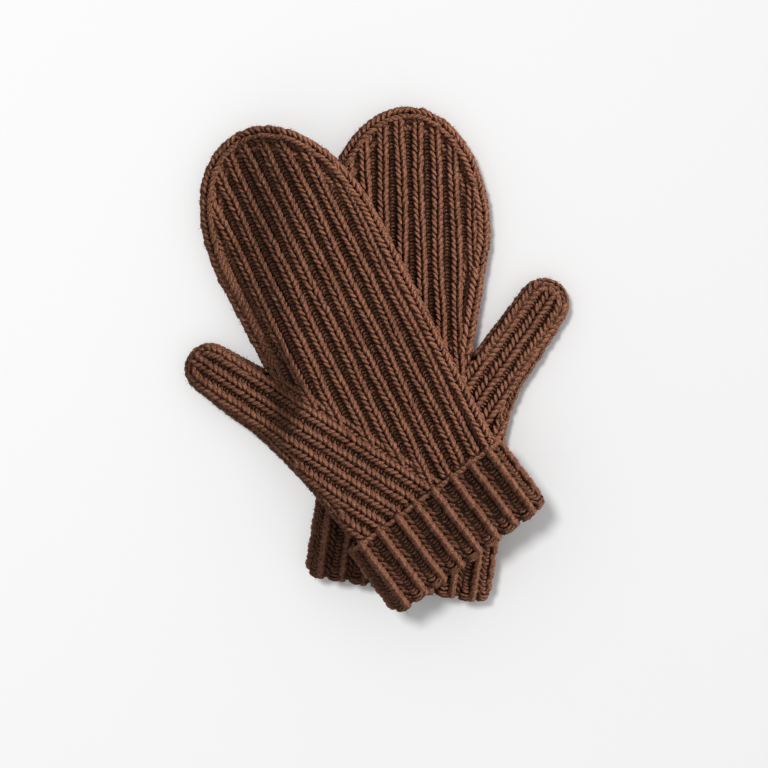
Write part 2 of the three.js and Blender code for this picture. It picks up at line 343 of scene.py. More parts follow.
class MittenSettings(bpy.types.PropertyGroup):
    """Sizes and colours of the knit."""

    row_height: bpy.props.FloatProperty(
        name="Row height",
        description="Height of one row of knitting",
        default=3.2 * MM,
        min=2 * MM,
        max=8 * MM,
        unit="LENGTH",
    )
    rib_pitch: bpy.props.FloatProperty(
        name="Rib spacing",
        description="Distance between the ribs of the hand",
        default=9.9 * MM,
        min=7 * MM,
        max=15 * MM,
        unit="LENGTH",
    )
    cuff_ribs: bpy.props.IntProperty(
        name="Cuff ribs",
        description="How many ribs go round a cuff",
        default=19,
        min=12,
        max=28,
    )
    rib_lean: bpy.props.FloatProperty(
        name="Rib lean",
        description="How far the hand's ribs lean away from the thumb",
        default=math.radians(3.7),
        min=0,
        max=math.radians(8),
        subtype="ANGLE",
    )
    unevenness: bpy.props.FloatProperty(
        name="Unevenness",
        description="How far the turn of a stitch varies from that of its neighbours",
        default=math.radians(8),
        min=0,
        max=math.radians(20),
        subtype="ANGLE",
    )
    fibres: bpy.props.FloatProperty(
        name="Stray fibres",
        description="Stray fibres on each square metre of yarn",
        default=1.3e5,
        min=0,
        max=1e6,
    )
    wool_color: color_setting("Wool", "Colour of the yarn", (0.170, 0.0625, 0.0325))
    # The ground's colour is far darker than the yarn's: painted shade deep between the stitches.
    ground_color: color_setting(
        "Ground", "Colour of the felted wool deep between the stitches", (0.024, 0.011, 0.0065)
    )
    floor_color: color_setting("Floor", "Colour of the plain floor", (0.9, 0.9, 0.9))


def settings():
    return bpy.context.scene.mitten_settings


# ---- materials ----


class Value:
    """A number that a shader works out, with arithmetic."""

    def __init__(self, tree, socket):
        self.tree = tree
        self.socket = socket

    def math(self, operation, other, swap=False):
        node = self.tree.nodes.new("ShaderNodeMath")
        node.operation = operation
        first, second = (other, self) if swap else (self, other)
        for slot, value in zip(node.inputs, (first, second)):
            if isinstance(value, Value):
                self.tree.links.new(value.socket, slot)
            else:
                slot.default_value = value
        return Value(self.tree, node.outputs[0])

    def __add__(self, other):
        return self.math("ADD", other)

    def __radd__(self, other):
        return self.math("ADD", other, swap=True)

    def __sub__(self, other):
        return self.math("SUBTRACT", other)

    def __rsub__(self, other):
        return self.math("SUBTRACT", other, swap=True)

    def __mul__(self, other):
        return self.math("MULTIPLY", other)

    def __rmul__(self, other):
        return self.math("MULTIPLY", other, swap=True)


class Shader:
    """A new material and a short way to add its nodes."""

    def __init__(self, name):
        self.material = bpy.data.materials.new(name)
        self.material.use_nodes = True
        self.tree = self.material.node_tree
        self.surface = self.tree.nodes["Principled BSDF"]

    def node(self, kind, made=None, **sockets):
        """Adds a node; made holds its settings, and sockets its values or links by name."""
        node = self.tree.nodes.new(kind)
        for key, value in (made or {}).items():
            setattr(node, key, value)
        for key, value in sockets.items():
            self.put(node.inputs[key.replace("_", " ")], value)
        return node

    def put(self, socket, value):
        if isinstance(value, Value):
            self.tree.links.new(value.socket, socket)
        elif isinstance(value, bpy.types.NodeSocket):
            self.tree.links.new(value, socket)
        else:
            socket.default_value = value

    def value(self, socket):
        return Value(self.tree, socket)

    def noise(self, scale, detail):
        """Noise over the piece's own place."""
        place = self.node("ShaderNodeTexCoord").outputs["Object"]
        made = self.node("ShaderNodeTexNoise", Vector=place, Scale=scale, Detail=detail)
        return self.value(made.outputs[0])

    def attribute(self, name):
        found = self.node("ShaderNodeAttribute", {"attribute_name": name})
        return self.value(found.outputs["Fac"])

    def finish(self, tint, roughness, shine, relief, strength, depth):
        """Sets the surface: its colour, roughness and shine, and a relief that is depth high."""
        bump = self.node("ShaderNodeBump", Height=relief, Strength=strength, Distance=depth)
        self.put(self.surface.inputs["Base Color"], tint)
        self.put(self.surface.inputs["Roughness"], roughness)
        self.put(self.surface.inputs["Specular IOR Level"], shine)
        self.put(self.surface.inputs["Normal"], bump.outputs[0])
        return self.material

    def mix_colors(self, amount, first, second):
        node = self.tree.nodes.new("ShaderNodeMix")
        node.data_type = "RGBA"
        self.put(node.inputs[0], amount)
        self.put(node.inputs[6], first)
        self.put(node.inputs[7], second)
        return node.outputs[2]


def scaled(color, shares, brightness=1.0):
    """A colour with its red, green and blue each scaled by a share."""
    return (*(c * share * brightness for c, share in zip(color, shares)), 1.0)


PLIES = 3.0  # strands that the yarn is twisted from
# The yarn's colour runs between these two shares by random tone and by height: yarn deep in the knit
# is darkened as painted shade, and its crests are paled as painted light.
DARK_WOOL_TONE_AND_SHADE = (0.5, 0.47, 0.44)  # the yarn's colour in its depths, as shares of the wool's colour
PALE_WOOL_TONE_AND_LIGHT = (1.42, 1.63, 1.82)  # and on its crests
DARK_GROUND = (0.5, 0.5, 0.5)
PALE_GROUND = (1.6, 1.6, 1.6)


def wool_material(name, color, brightness):
    """Plied wool: twist along each stitch, stray fibres, stitches that differ a little, and painted
    shade on yarn deep in the knit.
    """
    s = Shader(name)
    uv = s.node("ShaderNodeUVMap", {"uv_map": "yarn"})
    split = s.node("ShaderNodeSeparateXYZ", Vector=uv.outputs[0])
    around, along = s.value(split.outputs[0]), s.value(split.outputs[1])
    fuzz = s.noise(scale=2600.0, detail=3.0)
    cloud = s.noise(scale=45.0, detail=2.0)
    fibre = s.noise(scale=1100.0, detail=4.0)
    shade = s.attribute("shade")
    height = s.attribute("height")
    phase = (around * PLIES + along) * (2 * math.pi) + fuzz * 2.5
    twist = phase.math("SINE", 0.0) * 0.5 + 0.5
    # How much each of these makes the yarn paler, and what brings the sum back to the middle.
    # height is painted shade and painted light: yarn deep in the knit comes out darker and its crests
    # paler.
    light = shade * 0.35 + cloud * 0.4 + fibre * 3.6 + twist * 0.3 + height * 160.0 - 1.92
    light = light.math("MAXIMUM", 0.0).math("MINIMUM", 1.0)
    dark = scaled(color, DARK_WOOL_TONE_AND_SHADE, brightness)
    pale = scaled(color, PALE_WOOL_TONE_AND_LIGHT, brightness)
    tint = s.mix_colors(light, dark, pale)
    relief = twist * 0.6 + fibre * 0.9 + fuzz * 0.35
    return s.finish(tint, 0.86, 0.25, relief, strength=1.0, depth=0.9 * MM)


def ground_material(name, color):
    """Felted wool deep between the stitches, coloured far darker than the yarn as painted shade."""
    s = Shader(name)
    felt = s.noise(scale=900.0, detail=5.0)
    tint = s.mix_colors(felt, scaled(color, DARK_GROUND), scaled(color, PALE_GROUND))
    return s.finish(tint, 0.95, 0.1, felt, strength=0.9, depth=0.8 * MM)


def material(name):
    """The named wool of the mittens, made when it is first asked for."""
    found = bpy.data.materials.get(name)
    if found:
        return found
    s = settings()
    if name == "felted_ground":
        return ground_material(name, s.ground_color)
    brightness = {"ribbed_yarn": 1.0, "edge_band_yarn": 1.08, "cuff_yarn": 0.97}[name]
    return wool_material(name, s.wool_color, brightness)


# ---- stitches ----
# A stitch is drawn in millimetres: X is across its column, Y along it and Z out of the knit.


class Strand:
    """Short lengths of yarn that make one stitch."""

    PLY = 7.0  # millimetres of yarn for one turn of its plies

    def __init__(self, sides=6):
        self.sides = sides
        self.points, self.faces, self.uvs, self.heights = [], [], [], []

    def lay(self, path, radii, sunk=0.0):
        """A length of yarn through the points of path; sunk is how deep it is taken to lie in the
        knit.

        It is taken off the heights that the yarn records, which darkens the yarn as painted shade and
        keeps stray fibres off it; the yarn itself does not move.
        """
        path = [Vector(p) for p in path]
        first = len(self.points)
        n = self.sides
        travelled = 0.0
        lengths = []
        for i, centre in enumerate(path):
            if i:
                travelled += (centre - path[i - 1]).length
            lengths.append(travelled / self.PLY)
            way = (path[min(i + 1, len(path) - 1)] - path[max(i - 1, 0)]).normalized()
            across = Vector((0, 0, 1)).cross(way).normalized()
            up = way.cross(across)
            for k in range(n):
                a = 2 * math.pi * k / n
                self.points.append(centre + (across * math.cos(a) + up * math.sin(a)) * radii[i])
                # Heights lowered by sunk darken this yarn in the wool's colour: painted shade.
                self.heights.append((self.points[-1].z - sunk) * MM)
        for i in range(len(path) - 1):
            for k in range(n):
                a, b = first + i * n + k, first + i * n + (k + 1) % n
                self.faces.append((a, b, b + n, a + n))
                left, right = k / n, (k + 1) / n
                ends = lengths[i], lengths[i + 1]
                self.uvs.append([(left, ends[0]), (right, ends[0]), (right, ends[1]), (left, ends[1])])
        last = first + (len(path) - 1) * n
        self.faces.append(tuple(first + k for k in reversed(range(n))))
        self.uvs.append([(k / n, lengths[0]) for k in reversed(range(n))])
        self.faces.append(tuple(last + k for k in range(n)))
        self.uvs.append([(k / n, lengths[-1]) for k in range(n)])

    def build(self, name):
        mesh = bpy.data.meshes.new(name)
        mesh.from_pydata([p * MM for p in self.points], [], self.faces)
        layer = mesh.uv_layers.new(name="yarn")
        layer.data.foreach_set("uv", [c for face in self.uvs for corner in face for c in corner])
        heights = mesh.attributes.new("height", "FLOAT", "POINT")
        heights.data.foreach_set("value", self.heights)
        mesh.polygons.foreach_set("use_smooth", [True] * len(mesh.polygons))
        return in_scene(name, mesh)


def leg(strand, side, start, end, thickness, low=-1.7, drop=0.0):
    """One leg of a knit stitch: it rises from its row, lies on top and dives under the next.

    start and end are how far to the side it begins and stops, thickness is the yarn's radius,
    low is how high its foot is, and drop is how deep the whole leg lies. Seven tenths of drop is
    also taken off the heights that the leg records, which darkens a deep leg as painted shade.
    """
    path = [
        (side * start, -2.2, low - drop),
        (side * mix(start, end, 0.18), -1.5, -0.38 - drop),
        (side * mix(start, end, 0.5), -0.2, 0.12 - drop),
        (side * mix(start, end, 0.84), 1.2, -drop),
        (side * end, 2.15, -0.65 - drop),
        (side * (end + 0.05), 2.8, -1.8 - drop),
    ]
    # Seven tenths of drop darkens the leg through its recorded heights: painted shade.
    strand.lay(path, [thickness * f for f in (0.55, 0.9, 1.06, 1.02, 0.8, 0.45)], drop * 0.7)


def hand_stitch():
    strand = Strand()
    # The left leg lies 0.2 mm deeper, which also darkens it a little as painted shade.
    leg(strand, -1, start=0.4, end=2.5, thickness=1.06, drop=0.2)
    leg(strand, 1, start=0.4, end=2.5, thickness=1.2)
    return strand.build("hand_stitch")


def band_stitch():
    strand = Strand()
    for side in (-1, 1):
        leg(strand, side, start=0.4, end=3.15, thickness=1.18)
    return strand.build("band_stitch")


def cuff_stitch():
    """The right leg of each stitch runs on into the next as a cord; the left is a slanted loop."""
    strand = Strand()
    # The left loop lies 1.7 mm deep, and its lowered heights also darken it as painted shade beside
    # the cord.
    leg(strand, -1, start=-0.2, end=2.9, thickness=1.0, drop=1.7)
    leg(strand, 1, start=0.6, end=2.7, thickness=2.0, low=-1.1, drop=0.35)
    return strand.build("cuff_stitch")


def purl_bump():
    strand = Strand()
    path = [(-2.1, -0.9, -0.9), (-1.3, 0.1, 0), (0, 0.5, 0.35), (1.3, 0.1, 0), (2.1, -0.9, -0.9)]
    # sunk=1.3 darkens the purl bumps in the troughs as painted shade.
    strand.lay(path, [0.6, 0.8, 0.9, 0.8, 0.6], sunk=1.3)
    return strand.build("purl_bump")


def edge_cord():
    """One turn of the cord that finishes a cuff's edge."""
    strand = Strand()
    path = [(-0.7, -2.7, -0.9), (-0.45, -1.3, 0), (0, 0, 0.3), (0.45, 1.3, 0), (0.7, 2.7, -0.9)]
    strand.lay(path, [0.7, 1.15, 1.3, 1.15, 0.7])
    return strand.build("edge_cord")


LEAST_FIBRE_HEIGHT = -0.3 * MM  # fibres stand on yarn that is higher than this in its stitch


def stray_fibre():
    """A fine fibre that leaves the yarn and curls back towards it."""
    strand = Strand(sides=3)
    strand.lay([(0, 0, -0.1), (0.8, 0, 0.5), (1.9, 0.15, 0.55)], [0.07, 0.065, 0.035])
    return strand.build("stray_fibre")


STITCHES = {
    "hand": hand_stitch,
    "band": band_stitch,
    "cuff": cuff_stitch,
    "purl": purl_bump,
    "cord": edge_cord,
}


# ---- the trees that set stitches and stray fibres ----

ASTRAY = 0.22 * MM  # how far a stitch may lie from its even place


class Tree:
    """A Geometry Nodes tree with named inputs and one result, and a short way to add its nodes."""

    def __init__(self, name, inputs, result):
        self.tree = bpy.data.node_groups.new(name, "GeometryNodeTree")
        self.tree.is_modifier = True
        self.result = result
        for label, kind in {**inputs, "Seed": "Int", "Wool": "Material"}.items():
            self.socket(label, "INPUT", kind)
        self.socket(result, "OUTPUT", "Geometry")
        self.given = self.node("NodeGroupInput").outputs

    def socket(self, label, way, kind):
        self.tree.interface.new_socket(label, in_out=way, socket_type="NodeSocket" + kind)

    def node(self, kind, made=None, inputs=None):
        node = self.tree.nodes.new(kind)
        for key, value in (made or {}).items():
            setattr(node, key, value)
        for key, value in (inputs or {}).items():
            if isinstance(value, bpy.types.NodeSocket):
                self.tree.links.new(value, node.inputs[key])
            else:
                node.inputs[key].default_value = value
        return node

    def attribute(self, name, kind="FLOAT_VECTOR"):
        node = self.node("GeometryNodeInputNamedAttribute", {"data_type": kind}, {"Name": name})
        return node.outputs["Attribute"]

    def random_vector(self, least, most):
        inputs = {0: least, 1: most, "Seed": self.given["Seed"]}
        return self.node("FunctionNodeRandomValue", {"data_type": "FLOAT_VECTOR"}, inputs).outputs[0]

    def random_number(self, least, most):
        inputs = {2: least, 3: most, "Seed": self.given["Seed"]}
        return self.node("FunctionNodeRandomValue", {"data_type": "FLOAT"}, inputs).outputs[1]

    def bent(self, rotation, angles):
        """A rotation that is turned on by Euler angles in its own axes."""
        bend = self.node("FunctionNodeEulerToRotation", inputs={"Euler": angles})
        inputs = {"Rotation": rotation, "Rotate By": bend.outputs[0]}
        node = self.node("FunctionNodeRotateRotation", {"rotation_space": "LOCAL"}, inputs)
        return node.outputs[0]

    def placed(self, points, thing, rotation, scale):
        """The object in the input called thing, set on each point."""
        info = self.node("GeometryNodeObjectInfo", inputs={"Object": self.given[thing]})
        inputs = {
            "Points": points,
            "Instance": info.outputs["Geometry"],
            "Rotation": rotation,
            "Scale": scale,
        }
        return self.node("GeometryNodeInstanceOnPoints", inputs=inputs).outputs[0]

    def finish(self, instances):
        """Makes the instances real, in the wool, as the tree's result."""
        real = self.node("GeometryNodeRealizeInstances", inputs={"Geometry": instances})
        inputs = {"Geometry": real.outputs[0], "Material": self.given["Wool"]}
        wool = self.node("GeometryNodeSetMaterial", inputs=inputs)
        self.node("NodeGroupOutput", inputs={self.result: wool.outputs[0]})
        return self.tree


def column_tree():
    """Columns of stitches: one stitch for each row height of every guide line."""
    found = bpy.data.node_groups.get("knit_columns")
    if found:
        return found
    inputs = {
        "Guides": "Geometry",
        "Row height": "Float",
        "Stitch": "Object",
        "Unevenness": "Float",
    }
    t = Tree("knit_columns", inputs, "Knit")
    lines = t.node("GeometryNodeMeshToCurve", inputs={"Mesh": t.given["Guides"]})
    rows = t.node(
        "GeometryNodeResampleCurve",
        {"mode": "LENGTH"},
        {"Curve": lines.outputs[0], "Length": t.given["Row height"]},
    )
    up = t.node(
        "FunctionNodeAlignRotationToVector", {"axis": "Z"}, {"Vector": t.attribute("normal")}
    )
    facing = t.node(
        "FunctionNodeAlignRotationToVector",
        {"axis": "Y", "pivot_axis": "Z"},
        {"Rotation": up.outputs[0], "Vector": t.attribute("along")},
    )
    backward = t.node(
        "ShaderNodeMath", {"operation": "MULTIPLY"}, {0: t.given["Unevenness"], 1: -1.0}
    )
    wobble = t.random_vector(backward.outputs[0], t.given["Unevenness"])
    turn = t.bent(facing.outputs[0], wobble)
    astray = t.random_vector((-ASTRAY, -ASTRAY, -ASTRAY), (ASTRAY, ASTRAY, ASTRAY))
    moved = t.node(
        "GeometryNodeSetPosition", inputs={"Geometry": rows.outputs[0], "Offset": astray}
    )
    placed = t.placed(moved.outputs[0], "Stitch", turn, t.attribute("size"))
    shaded = t.node(
        "GeometryNodeStoreNamedAttribute",
        {"data_type": "FLOAT", "domain": "INSTANCE"},
        {"Geometry": placed, "Name": "shade", "Value": t.random_number(0.0, 1.0)},
    )
    return t.finish(shaded.outputs[0])


def fuzz_tree():
    """Stray fibres that stand off the yarn."""
    found = bpy.data.node_groups.get("stray_fibres")
    if found:
        return found
    inputs = {"Knit": "Geometry", "Fibres per square metre": "Float", "Fibre": "Object"}
    t = Tree("stray_fibres", inputs, "Fibres")
    height = t.attribute("height", "FLOAT")
    outside = t.node("FunctionNodeCompare", inputs={0: height, 1: LEAST_FIBRE_HEIGHT})
    points = t.node(
        "GeometryNodeDistributePointsOnFaces",
        inputs={
            "Mesh": t.given["Knit"],
            "Selection": outside.outputs[0],
            "Density": t.given["Fibres per square metre"],
            "Seed": t.given["Seed"],
        },
    )
    angles = t.random_vector((-0.5, -0.5, -math.pi), (0.5, 0.5, math.pi))
    facing = t.bent(points.outputs["Rotation"], angles)
    size = t.random_number(0.5, 1.3)
    return t.finish(t.placed(points.outputs["Points"], "Fibre", facing, size))


EVEN = (1, 1, 1)  # the size of a stitch, across, along and up, as shares of its drawn size


class Column:
    """A guide line for one column of stitches: places, which way they face, and their sizes."""

    def __init__(self):
        self.places, self.normals, self.sizes = [], [], []

    def add(self, place, normal, size=EVEN):
        self.places.append(place)
        self.normals.append(normal)
        self.sizes.append(size)

    def ways(self):
        last = len(self.places) - 1
        result = []
        for i in range(last + 1):
            way = self.places[min(i + 1, last)] - self.places[max(i - 1, 0)]
            result.append(way.normalized())
        return result

    def long_enough(self):
        return len(self.places) > 2


def guide_object(name, columns):
    places, edges, ways, normals, sizes = [], [], [], [], []
    for column in columns:
        first = len(places)
        count = len(column.places)
        places += column.places
        ways += column.ways()
        normals += column.normals
        sizes += column.sizes
        edges += [(first + i, first + i + 1) for i in range(count - 1)]
    mesh = bpy.data.meshes.new(name)
    mesh.from_pydata(places, edges, [])
    for label, rows in (("along", ways), ("normal", normals), ("size", sizes)):
        layer = mesh.attributes.new(label, "FLOAT_VECTOR", "POINT")
        layer.data.foreach_set("vector", [c for row in rows for c in row])
    return in_scene(name, mesh)


def grown(obj, tree, inputs):
    """The plain mesh that a tree makes from an object, with the tree's inputs set by name."""
    modifier = obj.modifiers.new("Knit", "NODES")
    modifier.node_group = tree
    for item in tree.interface.items_tree:
        if item.in_out == "INPUT" and item.name in inputs:
            modifier[item.identifier] = inputs[item.name]
    mesh = evaluated(obj)
    if not mesh.polygons:
        raise RuntimeError(f"{obj.name} came out empty")
    mesh.materials.clear()
    mesh.materials.append(inputs["Wool"])
    mesh.polygons.foreach_set("material_index", [0] * len(mesh.polygons))
    return mesh


def knit_mesh(name, columns, stitch, wool, seed, row_factor=1.0):
    """The stitches of these columns as one plain mesh."""
    columns = [c for c in columns if c.long_enough()]
    if not columns:
        raise RuntimeError(f"{name} has no columns to knit")
    guide = guide_object(name + "_guides", columns)
    source = STITCHES[stitch]()
    s = settings()
    inputs = {
        "Row height": s.row_height * row_factor,
        "Stitch": source,
        "Unevenness": s.unevenness,
        "Seed": seed,
        "Wool": wool,
    }
    mesh = grown(guide, column_tree(), inputs)
    bpy.data.objects.remove(guide)
    bpy.data.objects.remove(source)
    for label in ("along", "normal", "size"):
        if label in mesh.attributes:
            mesh.attributes.remove(mesh.attributes[label])
    return mesh


def fuzzy(obj, seed):
    """Adds stray fibres to a knitted piece."""
    fibre = stray_fibre()
    inputs = {
        "Fibres per square metre": settings().fibres,
        "Fibre": fibre,
        "Seed": seed,
        "Wool": obj.data.materials[0],
    }
    mesh = grown(obj, fuzz_tree(), inputs)
    bpy.data.objects.remove(fibre)
    return settle(joined(obj, mesh))


def joined(obj, mesh):
    """Adds a mesh to an object."""
    both = [obj, in_scene(obj.name + "_part", mesh)]
    with bpy.context.temp_override(
        active_object=obj, selected_editable_objects=both, selected_objects=both
    ):
        bpy.ops.object.join()
    return obj


def piece(name, meshes):
    """One object from these meshes, at the origin."""
    obj = in_scene(name, meshes[0])
    for mesh in meshes[1:]:
        joined(obj, mesh)
    obj.data.name = name
    return obj


PRESSED = 1.0 * MM  # wool below this height is pressed together by what it rests on


def settle(obj):
    """Presses the lowest wool together, so that none of it goes below the resting surface."""
    count = len(obj.data.vertices)
    places = np.empty(count * 3, np.float32)
    obj.data.vertices.foreach_get("co", places)
    heights = places.reshape(count, 3)[:, 2]
    low = heights < PRESSED
    heights[low] = PRESSED * np.exp(heights[low] / PRESSED - 1)
    obj.data.vertices.foreach_set("co", places)
    obj.data.update()
    return obj


# ---- columns of the hand ----

STEP = 3.0  # millimetres between the points of a guide line
UNDER_CUFF = -0.8  # how far the hand's columns run on past the cuff's upper edge
EDGE_COLUMNS = (-7.6, 0.0, 7.6)  # how far round the edge each column of the band is
INNER_COLUMNS = (-14.4, 14.4)  # sunk columns beside the band, which the ribs run over
INNER_SINK = 2.0
BAND_INSET = 5.5  # where the hand's ribs go in under the edge band
BAND_DIP = 0.7  # how far the ribs dip where they go in
BAND_DIP_RUN = 5.0
PURL_ROWS = 0.6  # height of a purl bump's row, as a share of a knit row
HAND_TROUGH_DEPTH = 2.15
SWAY = 0.45  # how far a rib strays to either side
SWAY_LENGTH = 14.0  # how far along it a rib runs for each radian of its sway
EVEN_AT = 110.0  # how far up the hand the leaning ribs are at their even places
GUSSET_EDGE = -13.2  # where the hand's ribs meet the gusset's first rib, out from the thumb's axis


def hand_column(mitten, face, offset, sink=0.0, size=EVEN):
    """A column of the hand, from the cuff or the gusset's seam up to the edge band."""
    column = Column()
    centre = -mitten.side * HAND_SHIFT
    lean = math.tan(settings().rib_lean)
    y = -2 * STEP
    while y < HAND_LENGTH:
        away = offset + (y - EVEN_AT) * lean + SWAY * math.sin(y / SWAY_LENGTH + offset)
        x = centre - mitten.side * away
        y += STEP
        inset = mitten.whole.inset(x, y)[0]
        on_gusset = mitten.thumb_place(x, y)[0] > GUSSET_EDGE
        if on_gusset or inset < BAND_INSET or mitten.above_cuff(x, y) < UNDER_CUFF:
            continue
        dip = BAND_DIP * (1 - ease((inset - BAND_INSET) / BAND_DIP_RUN))
        place, normal = mitten.on_face(x, y, face, YARN_DEPTH + sink + dip)
        column.add(place, normal, size)
    return column


def rib_offsets(mitten):
    """Places of the hand's ribs across it, counted from its centre line away from the thumb."""
    pitch = settings().rib_pitch / MM
    reach = HAND_WIDTH / 2
    count = int(reach / pitch) + 1
    return [(k + 0.5) * pitch + mitten.rib_shift for k in range(-count, count)]


def panel(mitten, face, name):
    offsets = rib_offsets(mitten)
    half = settings().rib_pitch / MM / 2
    ribs = [hand_column(mitten, face, w) for w in offsets]
    gaps = [hand_column(mitten, face, w + half, HAND_TROUGH_DEPTH, (0.95, 1, 1)) for w in offsets]
    wool = material("ribbed_yarn")
    seeds = (11, 31) if face > 0 else (12, 32)
    meshes = [
        knit_mesh(name, ribs, "hand", wool, seeds[0]),
        knit_mesh(name + "_gaps", gaps, "purl", wool, seeds[1], PURL_ROWS),
    ]
    return piece(name, meshes)


def resampled(points, step):
    """Points at even steps along a path, each with the way that the path runs there."""
    result = []
    carried = 0.0
    for a, b in zip(points, points[1:]):
        dx, dy = b[0] - a[0], b[1] - a[1]
        size = math.hypot(dx, dy)
        while carried < size:
            t = carried / size
            result.append((a[0] + dx * t, a[1] + dy * t))
            carried += step
        carried -= size
    ways = []
    for i in range(len(result)):
        a, b = result[max(i - 1, 0)], result[min(i + 1, len(result) - 1)]
        dx, dy = b[0] - a[0], b[1] - a[1]
        size = math.hypot(dx, dy) or 1.0
        ways.append((dx / size, dy / size))
    return list(zip(result, ways))


def rim_columns(mitten, path, arounds, outward, size=EVEN, sink=0.0):
    """Columns that follow an edge; outward is 1 when the outside is on the left of the path."""
    columns = []
    for around in arounds:
        column = Column()
        for point, way in resampled(path, STEP):
            if mitten.above_cuff(*point) < UNDER_CUFF:
                continue
            out = (-way[1] * outward, way[0] * outward)
            column.add(*mitten.on_rim(point, out, around, YARN_DEPTH + sink), size)
        columns.append(column)
    return columns


def edge_band(mitten, name):
    """The band of plain knitting round the hand, which meets itself at the fingertips."""
    rim = mitten.rim()
    peak = max(range(len(rim)), key=lambda i: rim[i][1])
    near, far = rim[: peak + 1], list(reversed(rim[peak:]))
    outward = 1 if mitten.side < 0 else -1
    columns = []
    for arounds, sink in ((EDGE_COLUMNS, 0.0), (INNER_COLUMNS, INNER_SINK)):
        columns += rim_columns(mitten, near, arounds, outward, sink=sink)
        columns += rim_columns(mitten, far, arounds, -outward, sink=sink)
    return piece(name, [knit_mesh(name, columns, "band", material("edge_band_yarn"), seed=31)])


THUMB_START = -130.0  # where its columns start, along its axis; the cuff cuts them off
THUMB_TROUGH_DEPTH = 2.0
THUMB_EDGE_COLUMNS = (-7.6, 7.6)  # sunk columns beside the one that follows the thumb's edge
TIP_DRAWN_IN = 0.3  # how much closer together the ribs come at the tip, as a share
THUMB_INSET = 4.0  # how near the edge the thumb's own columns come
GUSSET_INSET = 2.5  # and the columns that run on the gusset only
SEAM_COLUMN = -15.5  # a sunk column where the hand's ribs meet the gusset
SEAM_SINK = 1.0
GUSSET_RIBS = range(-1, 6)  # ribs counted out from the thumb's axis


def thumb_column(mitten, face, u, sink=0.0, size=EVEN):
    """A straight column from the cuff, through the gusset and up the thumb."""
    column = Column()
    tip_start = mitten.thumb_reach - THUMB_WIDTH / 2
    least = THUMB_INSET if abs(u) < THUMB_WIDTH / 2 else GUSSET_INSET
    v = THUMB_START
    while v < mitten.thumb_reach:
        drawn_in = 1 - TIP_DRAWN_IN * ease((v - tip_start) / THUMB_WIDTH * 2)
        x, y = mitten.thumb_point(u * drawn_in, v)
        v += STEP
        if mitten.whole.inset(x, y)[0] < least or mitten.above_cuff(x, y) < UNDER_CUFF:
            continue
        place, normal = mitten.on_face(x, y, face, YARN_DEPTH + sink)
        column.add(place, normal, size)
    return column


def thumb(mitten, name):
    """The thumb and its gusset, knitted in one."""
    pitch = settings().rib_pitch / MM
    wool = material("ribbed_yarn")
    ribs, gaps = [], []
    for face in (1, -1):
        ribs.append(thumb_column(mitten, face, SEAM_COLUMN, SEAM_SINK))
        for k in GUSSET_RIBS:
            between = (k + 0.5) * pitch
            ribs.append(thumb_column(mitten, face, k * pitch, size=(1.18, 1, 1)))
            gaps.append(thumb_column(mitten, face, between, THUMB_TROUGH_DEPTH, (0.85, 1, 1)))
    outward = 1 if mitten.side > 0 else -1
    edge = mitten.thumb_edge()
    ribs += rim_columns(mitten, edge, (0.0,), outward, size=(1.15, 1, 1))
    ribs += rim_columns(mitten, edge, THUMB_EDGE_COLUMNS, outward, sink=SEAM_SINK)
    meshes = [
        knit_mesh(name, ribs, "hand", wool, seed=41),
        knit_mesh(name + "_gaps", gaps, "purl", wool, 42, PURL_ROWS),
    ]
    return piece(name, meshes)


# ---- columns of the cuff and the wrist ----


def stadium(width, thick, around):
    """A point of a flattened ring at a share of the way round it, and the way it faces."""
    r = thick / 2
    flat = width - thick
    total = 2 * flat + 2 * math.pi * r
    s = (around % 1.0) * total
    if s < flat:
        return (s - flat / 2, r), (0.0, 1.0)
    s -= flat
    bend = math.pi * r
    if s < bend:
        a = math.pi / 2 - s / r
        return (flat / 2 + r * math.cos(a), r * math.sin(a)), (math.cos(a), math.sin(a))
    s -= bend
    if s < flat:
        return (flat / 2 - s, -r), (0.0, -1.0)
    s -= flat
    a = -math.pi / 2 - s / r
    return (-flat / 2 + r * math.cos(a), r * math.sin(a)), (math.cos(a), math.sin(a))


FOLD_AT = FOLD_ROUND - CUFF_HEIGHT
CORNER_ROUND = 6.0  # how round the cuff's lower corners are


def on_sleeve(mitten, width, thick, around, depth, y, tilt=0.0):
    """A point of the cuff or wrist, sunk by depth; tilt turns its normal towards the mouth."""
    (x, z), (nx, nz) = stadium(width, thick, around)
    past = min(max((abs(x) - width / 2) / CORNER_ROUND + 1, 0.0), 1.0)
    y *= 1 - CORNER_ROUND * (1 - math.sqrt(1 - past**2)) / CUFF_HEIGHT
    level = LOWER_CUFF_LEVEL if mitten.rests_on is None else STACK_CUFF_LEVEL
    px, py = turned(x - nx * depth, y, mitten.lean)
    place = mitten.world(px, py, level + z - nz * depth)
    wx, wy = turned(nx * math.cos(tilt), -math.sin(tilt), mitten.lean)
    return place, mitten.world_way(wx, wy, nz * math.cos(tilt)).normalized()


FOLD_RUN = 10.0  # over which the troughs of the cuff rise to meet the fold
FOLD_STEPS = 8


def cuff_face(depth):
    """Depth, height and tilt from the cuff's edge, which turns in, down its outside."""
    path = [(depth + 1.3, -0.9, -0.9), (depth + 0.3, -1.4, -0.5)]
    y = -STEP
    while y > FOLD_AT:
        near_fold = ease((FOLD_AT + FOLD_RUN - y) / FOLD_RUN)
        path.append((mix(depth, YARN_DEPTH, near_fold), y, 0.0))
        y -= STEP
    return path


def cuff_fold(depth):
    """Depth, height and tilt from the outside round the fold to the inside."""
    path = []
    for i in range(FOLD_STEPS + 1):
        a = math.radians(mix(-10, 170, i / FOLD_STEPS))
        radius = FOLD_ROUND - depth
        path.append((FOLD_ROUND - radius * math.cos(a), FOLD_AT - radius * math.sin(a), a))
    return path


